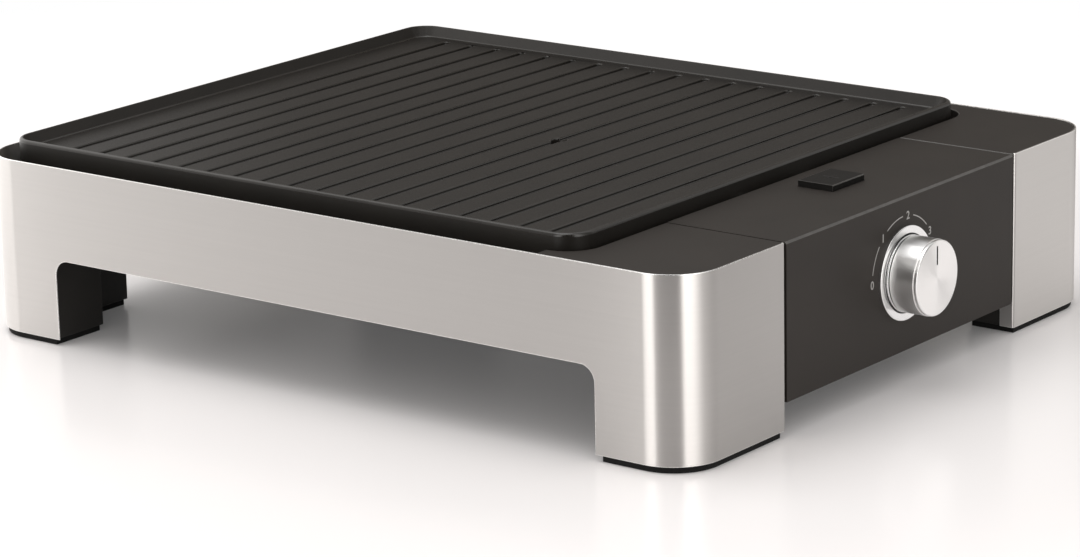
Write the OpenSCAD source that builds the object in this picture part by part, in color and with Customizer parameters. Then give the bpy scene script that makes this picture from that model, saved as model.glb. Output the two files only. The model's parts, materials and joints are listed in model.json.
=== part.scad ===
// Electric table grill with a removable ribbed plate. Millimetres.
// +X runs towards the control end, +Y to the back and +Z up. The floor is z = 0, and
// the origin is under the middle of the whole object, knob included.

/* [Body] */
// Length of the steel body, without the knob
body_l = 488; // [460:1:600]
// Depth of the body from front to back
body_w = 399; // [330:1:480]
// Height of the steel panels
panel_h = 100; // [92:1:125]
// Outer radius of the body's upright corners
corner_r = 27.5; // [20:0.5:32]
// Thickness of the steel sheet
sheet_t = 1; // [0.8:0.1:1.5]
// Height of the rubber feet
foot_h = 3.5; // [3:0.1:6]
// Length of each leg along the front
leg_l = 57.4; // [48:0.1:70]
// Depth of each leg's front arm
leg_d = 38; // [34:0.5:50]
// Thickness of each leg's side arm
leg_arm = 30; // [27:0.5:36]
// Height of the opening between the legs, over the floor
opening_h = 50; // [45:1:60]
// Corner radius of the opening between the legs
opening_r = 9; // [4:0.5:15]
// Width of the slot in the steel at each end
slot_w = 226; // [210:1:236]
// Wall of the plastic frames and covers
wall = 2.5; // [2:0.1:3]
// Depth of the frames' channel section
channel_d = 12; // [10:0.5:12.5]

/* [Grill plate] */
// Gap between the plate and the outside of the body at the left end
moat_left = 10.7; // [9:0.1:14]
// Gap between the plate and the outside of the body, front and back
moat_side = 15; // [13.5:0.5:20]
// Gap between the plate and the deck around it
recess_gap = 4.5; // [3:0.5:6]
// Height of the plate's rim over the body's top edge
rim_rise = 7.5; // [5:0.5:12]
// Depth of the pan inside the rim
pan_depth = 6.5; // [4:0.5:9]
// Outer corner radius of the plate
plate_r = 15; // [10:1:25]
// Thickness of the rim at its top
rim_t = 2.2; // [1.5:0.1:4]
// How far the pan's walls lean in
pan_draft = 3.5; // [1:0.5:6]
// Thickness of the plate under its lands
plate_t = 4.2; // [3.5:0.1:6]
// Distance from groove to groove
groove_pitch = 19.75; // [12:0.25:25]
// Width of a groove
groove_w = 4.5; // [3:0.1:7]
// Depth of a groove
groove_d = 2; // [1:0.1:2.5]
// Diameter of the drain hole
drain_d = 9; // [6:0.5:12]

/* [Control end] */
// Length of the control box along the body
box_l = 74.5; // [70:0.5:90]
// Height of the control box's underside over the floor
box_z = 18.2; // [14:0.1:24]
// Gap between the control box and the steel beside it
box_gap = 1.8; // [1:0.1:3]
// How far the deck and the box lie under the body's top edge
deck_drop = 0.3; // [0.1:0.1:1]
// Length of the deck's corner pieces beyond the control box
deck_l = 19.5; // [10:0.5:19.5]
// Height of the knob's axis over the floor
knob_z = 61.7; // [56:0.1:66]
// Diameter of the knob
knob_d = 41.6; // [34:0.1:44]
// How far the knob stands proud of the box
knob_proud = 20.7; // [16:0.1:26]
// Outer diameter of the bezel ring
bezel_d = 51.6; // [50:0.1:60]
// Diameter of the thermostat's shaft
shaft_d = 6; // [5:0.5:7]
// Length of the push button
button_l = 22; // [18:0.5:24]
// Width of the push button
button_w = 31; // [24:0.5:36]
// How far the push button stands over the deck
button_rise = 3.4; // [2.8:0.1:5]
// Travel of the push button
button_travel = 2.5; // [1:0.1:2.5]

/* [Heating and drip tray] */
// Diameter of the tubular heating element
tube_d = 7.2; // [6:0.1:8]
// Distance between the element's two ends
terminal_gap = 60; // [50:1:80]
// Bend radius at the element's control end
bend_r = 30; // [24:1:34]
// Width of the drip tray between its rims
tray_w = 200; // [160:1:202]
// Length of the drip tray behind its front
tray_l = 378; // [300:1:385]
// Gap between the heating element and the reflector under it
element_gap = 9.6; // [7:0.1:12]
// Bore of the cord grommet
cord_bore = 7.6; // [6:0.1:8]

/* [Hidden] */
$fn = 64;

fit = 0.2;          // gap between neighbours that are fixed together along curved or long faces
free_gap = 0.3;     // gap between parts that move past each other
eps = 0.01;         // how far one shape runs into the next that it is joined to
cut = 1;            // how far a cut runs past the face that it opens
screw_d = 3;        // the small screws
screw_gap = 0.1;    // how much wider a hole is than what passes through it
head_d = 6;
head_h = 1.6;

// Body
end_x = body_l / 2;
side_y = body_w / 2;
top_z = foot_h + panel_h;
slot_y = slot_w / 2;
flange_d = 9;                               // depth of the steel's folded return at the slots
liner = 2;                                  // how far the frame stands back from the steel's edge
frame_in = sheet_t + fit;                   // from the body's outside to the frame's outside
frame_drop = 10.5;                          // from the body's top edge down to the frames
frame_top = top_z - frame_drop;
frame_end_y = slot_y + sheet_t + fit;       // the frames stop behind the steel's folded returns
flange_top = frame_top - 0.5;
channel_x = end_x - frame_in - channel_d;   // inner edge of the frames' flanges at the ends
rib_y = frame_end_y + wall;                 // inner face of the frames' end ribs
leg_inner_x = end_x - leg_l + liner;
base_z = opening_h + liner + wall;          // top of the frames' lower flange, which carries the pan
pan_in = frame_in + wall + fit;
pan_t = 1;
pan_floor = base_z + pan_t;
pan_lip = 8;
base_screw_x = [-110, 90];
base_screw_y = side_y - pan_in - 4;
leg_floor = 6;
foot_inset = 1.5;
foot_screw_d = 4;
foot_screw_head_d = 8;
foot_screw_head = 2;
foot_screw_at = [[leg_inner_x + 15, leg_d / 2 - side_y], [end_x - leg_arm / 2, -frame_end_y - 16]];

// Control box and deck
deck_z = top_z - deck_drop;
box_x0 = end_x - box_l;
box_x1 = end_x - deck_drop;
box_y = slot_y - box_gap;
seam = 1;                                   // seam between the box's top and the deck's corners
deck_wall = 2;
deck_y = box_y + seam;
deck_x0 = box_x0 - deck_l;
ear_x1 = end_x - flange_d - 2 * fit;        // the ears pass inside the steel's folded returns
ear_t = 3.8;                                // thickness of the ears against the frames' ribs
ear_low_l = 15;                             // length of the ears against the legs' side arms
box_in_x0 = box_x0 + wall;
box_in_x1 = box_x1 - wall;
box_in_y = box_y - wall;
box_ceiling = deck_z - wall;
box_base_t = 2.5;
box_inner_z = box_z + box_base_t;
edge = 1.2;                                 // chamfer along the box's upper front edge
boss_d = 8;
boss_in = 6;                                // from the box's inner walls to the screws
boss_x = [box_in_x0 + boss_in, box_in_x1 - boss_in];
boss_y = box_in_y - boss_in;
box_screw_l = 10;
vent_pitch = 12;
vent_w = 3;
vent_n = 9;
vent_x = [box_in_x0 + 22, box_in_x1 - 12];
vent_y0 = -60;

// Plate
plate_x0 = moat_left - end_x;
plate_x1 = box_x0 - recess_gap;
plate_x = (plate_x0 + plate_x1) / 2;
plate_l = plate_x1 - plate_x0;
plate_w = body_w - 2 * moat_side;
rim_z = top_z + rim_rise;
land_z = rim_z - pan_depth;
under_z = land_z - plate_t;
skirt_h = 2.3;
skirt_z = under_z - skirt_h;
skirt_t = 3;
groove_margin = 30;                         // least distance from a groove to the plate's end
groove_n = 1 + floor((plate_l - 2 * groove_margin) / groove_pitch);
groove_end = 11.5;                          // from a groove's end to the plate's long side
groove_x0 = plate_x - (groove_n - 1) * groove_pitch / 2;
drain_share = 0.62;                         // how far along the grooves the drain hole opens
drain_groove = floor(groove_n * drain_share);
drain_x = groove_x0 + drain_groove * groove_pitch;

// Supports
support_d = 12;
support_inset_x = 26.5;
support_inset_y = 28;
support_x = [plate_x0 + support_inset_x, plate_x1 - support_inset_x];
support_y = plate_w / 2 - support_inset_y;
support_top = under_z - free_gap;
support_hole = 8;
locator_bore = support_d + 1;
locator_d = locator_bore + 5;
standoff_d = 10;

// Heating element: three runs each side of the middle, joined across the left end
tube_r = tube_d / 2;
tube_gap = 0.4;                             // between the tube and the plate's skirt over it
tube_z = skirt_z - tube_gap - tube_r;
run_inner = terminal_gap / 2;
run_inset = 44.5;                           // from the plate's long side to the outermost run
run_outer = plate_w / 2 - run_inset;
run_middle = run_outer - 2 * bend_r;
inner_bend = (run_middle - run_inner) / 2;
outer_bend = 25;
bend_inset = 43;                            // from the plate's control end to the bends
bend_x = plate_x1 - bend_inset;
tube_inset = 28.3;                          // from the plate's left end to the element
tube_x0 = plate_x0 + tube_inset;
inner_setback = 30;                         // how much further in the inner bends start
inner_x = tube_x0 + outer_bend + inner_setback;
tube_reach = 14.5;                          // how far the element's ends reach into the control box
tube_end = box_x0 + tube_reach;
bracket_t = 1.2;
bracket_x = [tube_x0 + 100, tube_x0 + 265];
bracket_foot = 9;
bracket_margin = 9;
bracket_top = tube_z + 1.5;
bracket_land = 7;                           // what is left between the bracket's cut-outs and the tube
bracket_sill = 4;
insulator_d = 11.8;
insulator_out = 2;
insulator_in = 4;
insulator_gap = 0.2;                        // between the insulators' flanges and the box's ceiling
insulator_flange = 2 * (box_ceiling - insulator_gap - tube_z);
insulator_flange_t = 2;

// Reflector
refl_t = 0.8;
refl_z = tube_z - tube_r - element_gap - refl_t;
refl_h = 8;
refl_flange = 4;
refl_inset_left = 11;
refl_inset_right = 5;
refl_inset_side = 8.5;
refl_x0 = plate_x0 + refl_inset_left;
refl_x1 = plate_x1 - refl_inset_right;
refl_x = (refl_x0 + refl_x1) / 2;
refl_l = refl_x1 - refl_x0;
refl_w = plate_w - 2 * refl_inset_side;
refl_r = 12;
spout_d = 18;
spout_h = 2.2;

// Left end cover
cover_gap = 0.8;
cover_z = refl_z - 2;
tray_front_top = cover_z - cover_gap;

// Drip tray
tray_t = 1;
tray_rim = 4;
tray_head_gap = 1.2;
runner_t = 1.2;
runner_top = tray_front_top;
tray_bottom = pan_floor + free_gap;
tray_top = runner_top - runner_t - tray_head_gap;
tray_h = tray_top - tray_bottom;
tray_front_x0 = deck_drop - end_x;
tray_front_t = 5;
tray_x0 = tray_front_x0 + tray_front_t;
tray_x1 = tray_x0 + tray_l;
tray_y = tray_w / 2;
tray_side_gap = 0.6;
runner_y = tray_y + tray_rim + tray_side_gap;
runner_foot = 9;
runner_x0 = tray_x0 + 13;
runner_x1 = tray_x1 - 20;
runner_lip = 4.6;
tray_screw_head = 1.2;
tray_screw_y = tray_y - 30;
tray_screw_z = tray_bottom + tray_h / 2;
scoop_l = 26;
scoop_w = 80;

// Knob and thermostat
knob_x0 = box_x1 + 4;
knob_x1 = box_x1 + knob_proud;
knob_l = knob_x1 - knob_x0;
knob_t = 1.6;
knob_round = 1;
bead = 0.5;                                 // how far the bead round the knob's foot stands out
bead_z = [0.6, 1.6];
knob_disc_t = 2;
knob_rib_t = 1.6;
bezel_h = 2.2;
bezel_bore = knob_d + 1.6;
bezel_edge = [0.4, 0.6];                    // chamfers inside and outside the bezel's face
nut_af = 14;
nut_h = 2.4;
bush_d = 10;
bush_end = box_x1 + nut_h + 1;
thermo_d = 17;
thermo_w = 34;
shaft_in = 12;
shaft_tip = knob_x1 - 5;
hub_d = 12;
running = 0.05;                             // radial clearance of the shaft in its bush
pointer_w = 1.5;
pointer_l = 10.5;
pointer_edge = 3.2;
pointer_t = 0.4;

// Push button, its spring and its switch
button_x = box_x0 + 25.5;
button_y = 4;
button_gap = 0.35;
button_lip = 2;
button_lip_t = 1.6;
button_top = deck_z + button_rise;
button_lip_z = box_ceiling - free_gap - button_lip_t;
stem_d = 4;
stem_in = 4;                                // how far the stem reaches into the switch
switch_l = 20;
switch_w = 24;
switch_h = 18;
switch_drop = 10.4;
switch_top = button_lip_z - switch_drop;
switch_z = switch_top - switch_h;
strap_w = 16;                               // the switch's bracket
strap_t = 1.2;
strap_h = 9;
spring_d = 8;
spring_wire = 0.8;
spring_turns = 5;
spring_steps = 20;                          // rings of the spring's mesh in one turn
window_l = 9;
window_w = 1.3;
window_t = 0.6;
window_sunk = 0.15;

// Cord grommet and wiring
cord_y = 80;
cord_z = box_z + 17;
grommet_d = 14;
grommet_flange = [18, 17];                  // outside and inside the box
grommet_out = 5;
grommet_in = 4;
block_l = 20;
block_w = 36;
block_h = 14;
block_x = box_in_x0 + 20;
block_y = cord_y - 20;
block_top = box_inner_z + block_h;
pole_pitch = 11;
pole_d = 5;
pole_floor = 5;
lead_d = 2.4;
lead_steps = 12;
lead_bow = 18;                              // how far a lead runs straight on from its ends
fuse_d = 5;
fuse_l = 18;
fuse_x = block_x;
fuse_y = run_inner + 6;
fuse_z = tube_z - 22;

// The object stands with the middle of its whole outline over the origin
shift_x = (end_x - knob_x1) / 2;

module in_place() {
    translate([shift_x, 0, 0]) children();
}

// A box between two corners
module block(x0, x1, y0, y1, z0, z1) {
    translate([x0, y0, z0]) cube([x1 - x0, y1 - y0, z1 - z0]);
}

module area(x0, x1, y0, y1) {
    translate([x0, y0]) square([x1 - x0, y1 - y0]);
}

module rounded_rect(l, w, r) {
    square([l - 2 * r, w], center = true);
    square([l, w - 2 * r], center = true);
    for (sx = [-1, 1], sy = [-1, 1])
        translate([sx * (l / 2 - r), sy * (w / 2 - r)]) circle(r);
}

// The body's outline, moved in from the outside of the steel
module body_outline(inset) {
    rounded_rect(body_l - 2 * inset, body_w - 2 * inset, corner_r - inset);
}

module plate_outline(grow) {
    translate([plate_x, 0]) rounded_rect(plate_l + 2 * grow, plate_w + 2 * grow, plate_r + grow);
}

// A rounded block whose four sides lean out by run from z = 0 up to z = h
module leaning_block(l, w, r, run, h) {
    straight = [l - 2 * r, w - 2 * r];
    for (turn = [0, 1])
        rotate([90, 0, 90 * turn])
            translate([0, 0, -straight[1 - turn] / 2])
                linear_extrude(straight[1 - turn])
                    polygon([
                        [-straight[turn] / 2 - r + run, 0], [straight[turn] / 2 + r - run, 0],
                        [straight[turn] / 2 + r, h], [-straight[turn] / 2 - r, h]]);
    for (sx = [-1, 1], sy = [-1, 1])
        translate([sx * straight[0] / 2, sy * straight[1] / 2, 0])
            cylinder(h = h, r1 = r - run, r2 = r);
}

// The front half's parts are drawn once; the back half is their mirror image
module on_side(side) {
    mirror([0, side > 0 ? 1 : 0, 0]) children();
}

module on_end(end) {
    mirror([end < 0 ? 1 : 0, 0, 0]) children();
}

// A cylinder along +X from x0 to x1
module bar_x(x0, x1, y, z, d) {
    translate([x0, y, z]) rotate([0, 90, 0]) cylinder(h = x1 - x0, d = d);
}

// A screw that points up, the face that its head bears on at z = 0
module screw_up(length, d = screw_d, head = [head_d, head_h]) {
    translate([0, 0, -head[1]]) cylinder(h = head[1], d = head[0]);
    translate([0, 0, -eps]) cylinder(h = length + eps, d = d);
}

// ---- Tubes and wires swept along a path of [point, direction] pairs ----

function unit(v) = v / norm(v);

// One ring of the tube, square to its direction; the direction never runs along across
function tube_ring(p, along, across, r, sides) =
    let (n = unit(cross(along, across)), b = unit(cross(along, n)))
    [for (i = [0:sides - 1]) p + r * (cos(360 * i / sides) * n + sin(360 * i / sides) * b)];

module swept_tube(path, d, across, sides = 8) {
    last = len(path) - 1;
    points = [for (place = path) each tube_ring(place[0], place[1], across, d / 2, sides)];
    skin = [for (k = [0:last - 1], i = [0:sides - 1], half = [0, 1])
        let (a = k * sides + i, b = k * sides + (i + 1) % sides)
        half == 0 ? [a, b, a + sides] : [b, b + sides, a + sides]];
    near_cap = [for (i = [sides - 1:-1:0]) i];
    far_cap = [for (i = [0:sides - 1]) last * sides + i];
    polyhedron(points, concat(skin, [near_cap], [far_cap]));
}

// ---- Steel panels ----

// The opening between two legs, cut right through in Y over the given stretch
module leg_opening(y0, y1) {
    half = end_x - leg_l;
    translate([0, y1, 0]) rotate([90, 0, 0]) linear_extrude(y1 - y0) {
        area(-half, half, -1, opening_h - opening_r);
        area(opening_r - half, half - opening_r, -1, opening_h);
        for (sx = [-1, 1]) translate([sx * (half - opening_r), opening_h - opening_r]) circle(opening_r);
    }
}

module steel_panel(side) {
    color("silver") on_side(side) {
        difference() {
            translate([0, 0, foot_h]) linear_extrude(panel_h) difference() {
                body_outline(0);
                body_outline(sheet_t);
                area(-body_l, body_l, -slot_y, body_w);
            }
            leg_opening(-side_y - 1, -side_y + corner_r);
        }
        for (end = [-1, 1]) on_end(end)
            block(end_x - flange_d, end_x - sheet_t / 2, -slot_y - sheet_t, -slot_y, foot_h, flange_top);
    }
}

// ---- Frames ----

// The L of one leg in plan, its inner faces moved by inset towards the outside
module leg_plan(inset, outline_inset) {
    intersection() {
        body_outline(outline_inset);
        union() {
            area(leg_inner_x + inset, end_x, -side_y, leg_d - side_y - inset);
            area(end_x - leg_arm + inset, end_x, -side_y, -frame_end_y - inset);
        }
    }
}

module leg_core() {
    difference() {
        translate([0, 0, foot_h]) linear_extrude(base_z - foot_h) leg_plan(0, frame_in);
        translate([0, 0, foot_h + leg_floor]) linear_extrude(base_z) leg_plan(wall, frame_in + wall);
        for (at = foot_screw_at)
            translate([at[0], at[1], foot_h - cut])
                cylinder(h = leg_floor, d = foot_screw_d + screw_gap);
    }
}

module frame(side) {
    color([0.09, 0.09, 0.09]) on_side(side) {
        for (end = [-1, 1]) on_end(end) leg_core();
        difference() {
            translate([0, 0, base_z - wall]) linear_extrude(frame_top - base_z + wall) difference() {
                body_outline(frame_in);
                body_outline(frame_in + channel_d);
                area(-body_l, body_l, -frame_end_y, body_w);
            }
            // hollow of the channel, left open towards the inside
            translate([0, 0, base_z]) linear_extrude(frame_top - wall - base_z) difference() {
                body_outline(frame_in + wall);
                area(-body_l, body_l, -rib_y, body_w);
            }
            for (x = base_screw_x)
                translate([x, -base_screw_y, base_z - wall - cut])
                    cylinder(h = wall + 2 * cut, d = screw_d + screw_gap);
        }
    }
}

// ---- Feet ----

module foot(side, end) {
    color([0.05, 0.05, 0.05]) on_side(side) on_end(end) difference() {
        linear_extrude(foot_h) intersection() {
            body_outline(foot_inset);
            leg_plan(foot_inset, foot_inset);
        }
        for (at = foot_screw_at) translate([at[0], at[1], -cut]) {
            cylinder(h = foot_h + 2 * cut, d = foot_screw_d + screw_gap);
            cylinder(h = cut + foot_screw_head + fit, d = foot_screw_head_d + 2 * fit);
        }
    }
}

module foot_screws() {
    color("dimgray") for (side = [-1, 1], end = [-1, 1], at = foot_screw_at)
        on_side(side) on_end(end) translate([at[0], at[1], foot_screw_head + fit])
            screw_up(leg_floor - 0.5, foot_screw_d, [foot_screw_head_d, foot_screw_head]);
}

// ---- Base pan ----

module pan_hole(x, y) {
    translate([x, y, base_z - cut]) cylinder(h = pan_t + 2 * cut, d = screw_d + screw_gap);
}

module base_pan() {
    color([0.16, 0.16, 0.16]) difference() {
        union() {
            translate([0, 0, base_z]) linear_extrude(pan_t) body_outline(pan_in);
            translate([0, 0, base_z]) linear_extrude(pan_t + pan_lip) difference() {
                body_outline(pan_in);
                body_outline(pan_in + pan_t);
                area(-body_l, body_l, -rib_y - wall, rib_y + wall);
            }
        }
        block(box_x0 - fit, end_x, -deck_y, deck_y, base_z - cut, top_z);
        // room for the frames' end ribs, the tray's front and the fingers that pull it
        for (end = [-1, 1]) on_end(end)
            block(channel_x - fit, end_x, -rib_y - fit, rib_y + fit, base_z - cut, top_z);
        block(-end_x, scoop_l - end_x, -scoop_w / 2, scoop_w / 2, base_z - cut, top_z);
        for (x = base_screw_x, side = [-1, 1]) pan_hole(x, side * base_screw_y);
        for (x = support_x, side = [-1, 1]) pan_hole(x, side * support_y);
    }
}

module base_pan_screws() {
    color("dimgray") for (x = base_screw_x, side = [-1, 1])
        translate([x, side * base_screw_y, base_z - wall]) screw_up(wall + pan_t + 2);
}

// ---- Left end ----

module left_end_cover() {
    x0 = tray_front_x0;
    x1 = -channel_x;
    color([0.1, 0.1, 0.1]) {
        difference() {
            block(x0, x1, -box_y, box_y, cover_z, frame_top);
            block(x0 + wall, x1 + cut, -box_y + wall, box_y - wall, cover_z + wall, frame_top - wall);
        }
        block(x0, x0 + wall, -box_y, box_y, frame_top - eps, deck_z);
        for (side = [-1, 1]) on_side(side)
            block(-ear_x1, x1, -frame_end_y, eps - box_y, cover_z, frame_top);
    }
}

// ---- Deck corners ----

module deck_plan(inset) {
    difference() {
        intersection() {
            body_outline(frame_in + inset);
            area(deck_x0 + inset, end_x, -side_y, -deck_y - inset);
        }
        plate_outline(recess_gap + inset);
    }
}

module deck(side) {
    color([0.24, 0.23, 0.22]) on_side(side) difference() {
        translate([0, 0, frame_top]) linear_extrude(deck_z - frame_top) deck_plan(0);
        translate([0, 0, frame_top - cut])
            linear_extrude(deck_z - frame_top - wall + cut) deck_plan(deck_wall);
    }
}

// ---- Control box ----

// The push button's outline in plan, moved out by grow
module button_block(grow, z0, z1) {
    block(button_x - button_l / 2 - grow, button_x + button_l / 2 + grow,
        button_y - button_w / 2 - grow, button_y + button_w / 2 + grow, z0, z1);
}

module box_profile() {
    polygon([[box_x0, box_z], [box_x1, box_z], [box_x1, deck_z - edge], [box_x1 - edge, deck_z],
        [box_x0, deck_z]]);
}

module control_box_cover() {
    color([0.24, 0.23, 0.21]) difference() {
        union() {
            difference() {
                translate([0, box_y, 0]) rotate([90, 0, 0]) linear_extrude(2 * box_y) box_profile();
                block(box_in_x0, box_in_x1, -box_in_y, box_in_y, box_z - cut, box_ceiling);
            }
            for (x = boss_x, side = [-1, 1]) translate([x, side * boss_y, box_inner_z])
                cylinder(h = box_ceiling - box_inner_z + eps, d = boss_d);
            // ears that meet the frames' end ribs and the legs' side arms
            for (side = [-1, 1]) on_side(side) {
                block(ear_x1 - ear_t, ear_x1, -frame_end_y, eps - box_y, base_z + 5, frame_top - 5);
                block(ear_x1 - ear_low_l, ear_x1, -frame_end_y, eps - box_y, box_z + 7, opening_h);
            }
        }
        bar_x(box_in_x1 - cut, box_x1 + cut, 0, knob_z, bush_d + 2 * fit);
        for (side = [-1, 1])
            bar_x(box_x0 - cut, box_in_x0 + cut, side * run_inner, tube_z, insulator_d + fit);
        bar_x(box_x0 - cut, box_in_x0 + cut, cord_y, cord_z, grommet_d);
        button_block(button_gap, box_ceiling - cut, deck_z + cut);
        for (x = boss_x, side = [-1, 1]) translate([x, side * boss_y, box_inner_z - cut])
            cylinder(h = box_screw_l + 2 * cut, d = screw_d + screw_gap);
    }
}

module control_box_base() {
    color([0.1, 0.1, 0.1]) difference() {
        block(box_in_x0 + fit, box_in_x1 - fit, -box_in_y + fit, box_in_y - fit, box_z, box_inner_z);
        for (x = boss_x, side = [-1, 1]) translate([x, side * boss_y, box_z - cut]) {
            cylinder(h = box_base_t + 2 * cut, d = screw_d + screw_gap);
            cylinder(h = cut + head_h, d = head_d + 2 * fit);
        }
        for (i = [0:vent_n - 1]) {
            y = vent_y0 + i * vent_pitch;
            block(vent_x[0], vent_x[1], y, y + vent_w, box_z - cut, box_inner_z + cut);
        }
    }
}

module control_box_screws() {
    color("dimgray") for (x = boss_x, side = [-1, 1])
        translate([x, side * boss_y, box_z + head_h]) screw_up(box_screw_l);
}

// ---- Knob ----

module knob_bezel() {
    color("gainsboro") translate([box_x1, 0, knob_z]) rotate([0, 90, 0]) rotate_extrude()
        polygon([[bezel_bore / 2, 0], [bezel_d / 2, 0], [bezel_d / 2, bezel_h - bezel_edge[1]],
            [bezel_d / 2 - bezel_edge[1], bezel_h], [bezel_bore / 2 + bezel_edge[0], bezel_h],
            [bezel_bore / 2, bezel_h - bezel_edge[0]]]);
}

module knob_shell() {
    r = knob_d / 2;
    color("lightgray") translate([knob_x0, 0, knob_z]) rotate([0, 90, 0]) difference() {
        rotate_extrude() difference() {
            union() {
                area(0, r, 0, knob_l - knob_round);
                area(0, r - knob_round, 0, knob_l);
                translate([r - knob_round, knob_l - knob_round]) circle(knob_round);
                // a narrow bead round the foot of the knob
                area(0, r + bead, bead_z[0], bead_z[1]);
            }
            area(-r, r - knob_t, -cut, knob_l - knob_t);
            area(-r, 0, -cut, knob_l + cut);
        }
        pointer_block(pointer_t + cut);
    }
}

// The pointer's bar, from the bottom of its groove in the knob's face up by h
module pointer_block(h) {
    translate([pointer_edge - knob_d / 2, -pointer_w / 2, knob_l - pointer_t])
        cube([pointer_l, pointer_w, h]);
}

module knob_pointer() {
    color([0.12, 0.12, 0.12]) translate([knob_x0, 0, knob_z]) rotate([0, 90, 0]) pointer_block(pointer_t);
}

module knob_insert() {
    r = knob_d / 2 - knob_t;
    depth = knob_l - knob_t;
    tip = shaft_tip - knob_x0;
    color([0.1, 0.1, 0.1]) translate([knob_x0, 0, knob_z]) rotate([0, 90, 0]) difference() {
        union() {
            translate([0, 0, depth - knob_disc_t]) cylinder(h = knob_disc_t, r = r);
            cylinder(h = depth, d = hub_d);
            for (turn = [0:60:300]) rotate(turn)
                translate([0, -knob_rib_t / 2, knob_rib_t]) cube([r - fit, knob_rib_t, depth - knob_rib_t]);
        }
        translate([0, 0, -cut]) cylinder(h = tip + cut, d = shaft_d + screw_gap);
    }
}

module thermostat_shaft() {
    color("silver") bar_x(box_in_x1 - shaft_in, shaft_tip, 0, knob_z, shaft_d);
}

module thermostat_body() {
    x1 = box_in_x1;
    color("tan") difference() {
        union() {
            block(x1 - thermo_d, x1, -thermo_w / 2, thermo_w / 2,
                knob_z - thermo_w / 2, knob_z + thermo_w / 2);
            bar_x(x1 - eps, bush_end, 0, knob_z, bush_d);
        }
        bar_x(x1 - shaft_in - free_gap, bush_end + cut, 0, knob_z, shaft_d + 2 * running);
    }
}

module thermostat_nut() {
    color("silver") translate([box_x1, 0, knob_z]) rotate([0, 90, 0]) difference() {
        cylinder(h = nut_h, d = nut_af / cos(30), $fn = 6);
        translate([0, 0, -cut]) cylinder(h = nut_h + 2 * cut, d = bush_d + screw_gap);
    }
}

// ---- Push button ----

module push_button() {
    color([0.16, 0.155, 0.15]) difference() {
        union() {
            button_block(0, button_lip_z + eps, button_top);
            button_block(button_lip, button_lip_z, button_lip_z + button_lip_t);
            translate([button_x, button_y, switch_top - stem_in])
                cylinder(h = button_lip_z - switch_top + stem_in + eps, d = stem_d);
        }
        window_block(button_top + cut);
    }
}

// The window's bar, from the bottom of its groove in the button's top up to z1
module window_block(z1) {
    block(button_x - window_w / 2, button_x + window_w / 2,
        button_y - window_l / 2, button_y + window_l / 2, button_top - window_t, z1);
}

module button_window() {
    color([0.06, 0.06, 0.06]) window_block(button_top - window_sunk);
}

// A coil spring that stands on z = 0 and is h tall
module coil_spring(d, wire, h, turns) {
    r = (d - wire) / 2;
    rise = (h - wire) / turns;
    path = [for (k = [0:spring_steps * turns]) let (turn = k / spring_steps)
        [[r * cos(360 * turn), r * sin(360 * turn), wire / 2 + rise * turn],
            [-sin(360 * turn), cos(360 * turn), rise / (2 * PI * r)]]];
    swept_tube(path, wire, [0, 0, 1]);
}

module button_spring() {
    color("silver") translate([button_x, button_y, switch_top + free_gap])
        coil_spring(spring_d, spring_wire, button_lip_z - switch_top - 2 * free_gap, spring_turns);
}

module button_switch() {
    color([0.75, 0.72, 0.66]) difference() {
        block(button_x - switch_l / 2, button_x + switch_l / 2, button_y - switch_w / 2,
            button_y + switch_w / 2, switch_z, switch_top);
        translate([button_x, button_y, switch_top - stem_in - button_travel - 2 * free_gap])
            cylinder(h = switch_h, d = stem_d + 2 * free_gap);
    }
}

module switch_bracket() {
    color("gray") {
        block(box_in_x0, button_x + switch_l / 2, button_y - strap_w / 2, button_y + strap_w / 2,
            switch_z - strap_t, switch_z);
        block(box_in_x0, box_in_x0 + strap_t, button_y - strap_w / 2, button_y + strap_w / 2,
            switch_z - strap_t, switch_z + strap_h);
    }
}

// ---- Grill plate ----

module groove_plan() {
    half = plate_w / 2 - groove_end - groove_w / 2;
    square([groove_w, 2 * half], center = true);
    for (sy = [-1, 1]) translate([0, sy * half]) circle(groove_w / 2);
}

module grill_plate() {
    color([0.17, 0.165, 0.16]) difference() {
        union() {
            difference() {
                translate([0, 0, skirt_z]) linear_extrude(rim_z - skirt_z) plate_outline(0);
                translate([0, 0, skirt_z - cut]) linear_extrude(skirt_h + cut) plate_outline(-skirt_t);
            }
            for (x = support_x, side = [-1, 1])
                translate([x, side * support_y, skirt_z]) cylinder(h = skirt_h + eps, d = locator_d);
        }
        translate([plate_x, 0, land_z])
            leaning_block(plate_l - 2 * rim_t, plate_w - 2 * rim_t, plate_r - rim_t, pan_draft,
                pan_depth + eps);
        for (i = [0:groove_n - 1])
            translate([groove_x0 + i * groove_pitch, 0, land_z - groove_d])
                linear_extrude(groove_d + cut) groove_plan();
        translate([drain_x, 0, skirt_z - cut]) cylinder(h = rim_z, d = drain_d);
        for (x = support_x, side = [-1, 1])
            translate([x, side * support_y, skirt_z - cut]) cylinder(h = skirt_h + cut, d = locator_bore);
    }
}

module plate_supports() {
    z0 = refl_z + refl_t;
    color("gainsboro") for (x = support_x, side = [-1, 1])
        translate([x, side * support_y, z0]) difference() {
            cylinder(h = support_top - z0, d = support_d);
            translate([0, 0, -cut]) cylinder(h = support_hole, d = screw_d + screw_gap);
        }
}

// ---- Heating element ----

// A stretch of tube bent round +Z, from angle a0 over the given sweep
module bend(x, y, r, a0, sweep) {
    translate([x, y, tube_z]) rotate(a0) rotate_extrude(angle = sweep) translate([r, 0]) circle(tube_r);
}

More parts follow.
